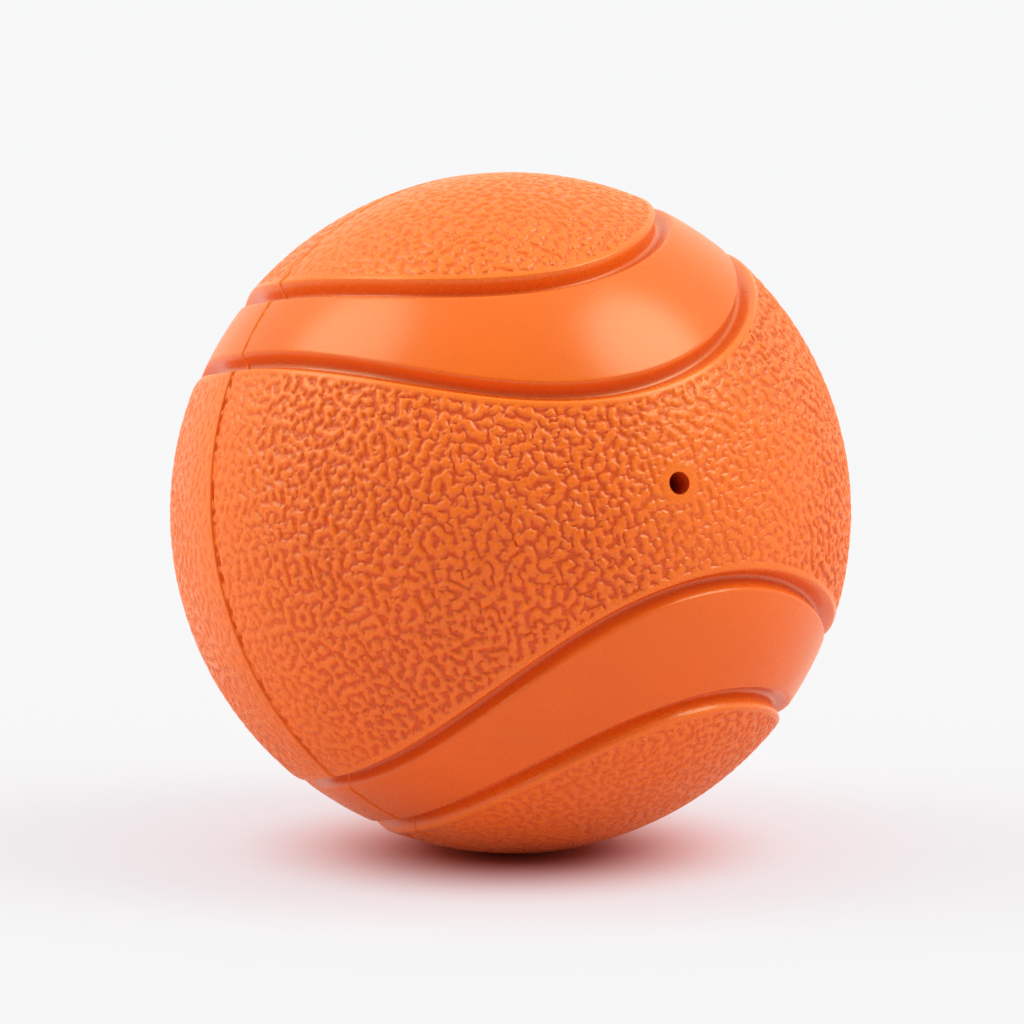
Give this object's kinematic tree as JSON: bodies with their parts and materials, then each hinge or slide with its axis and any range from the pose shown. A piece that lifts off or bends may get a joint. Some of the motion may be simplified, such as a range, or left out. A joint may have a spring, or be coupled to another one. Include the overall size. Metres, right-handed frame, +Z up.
{
  "type": "dog ball",
  "caption": "Hollow rubber dog ball of bonded half shells, with panels set off by grooves from a smooth winding band, and a small air vent.",
  "frame": {"origin": "centre of the ball", "axes": "+Z up as the ball lies in the picture, the vent faces -Y and is tilted up from level, +X to the side"},
  "size_m": [0.0602, 0.06, 0.06],
  "materials": {
    "moulded_rubber": "satin moulded orange rubber, grained panels and a smooth band",
    "cured_cement": "satin cured rubber cement, the same orange"
  },
  "bodies": {
    "root": {"front_half_shell": "moulded_rubber", "rear_half_shell": "moulded_rubber", "seam_bond": "cured_cement"}
  },
  "joints": []
}
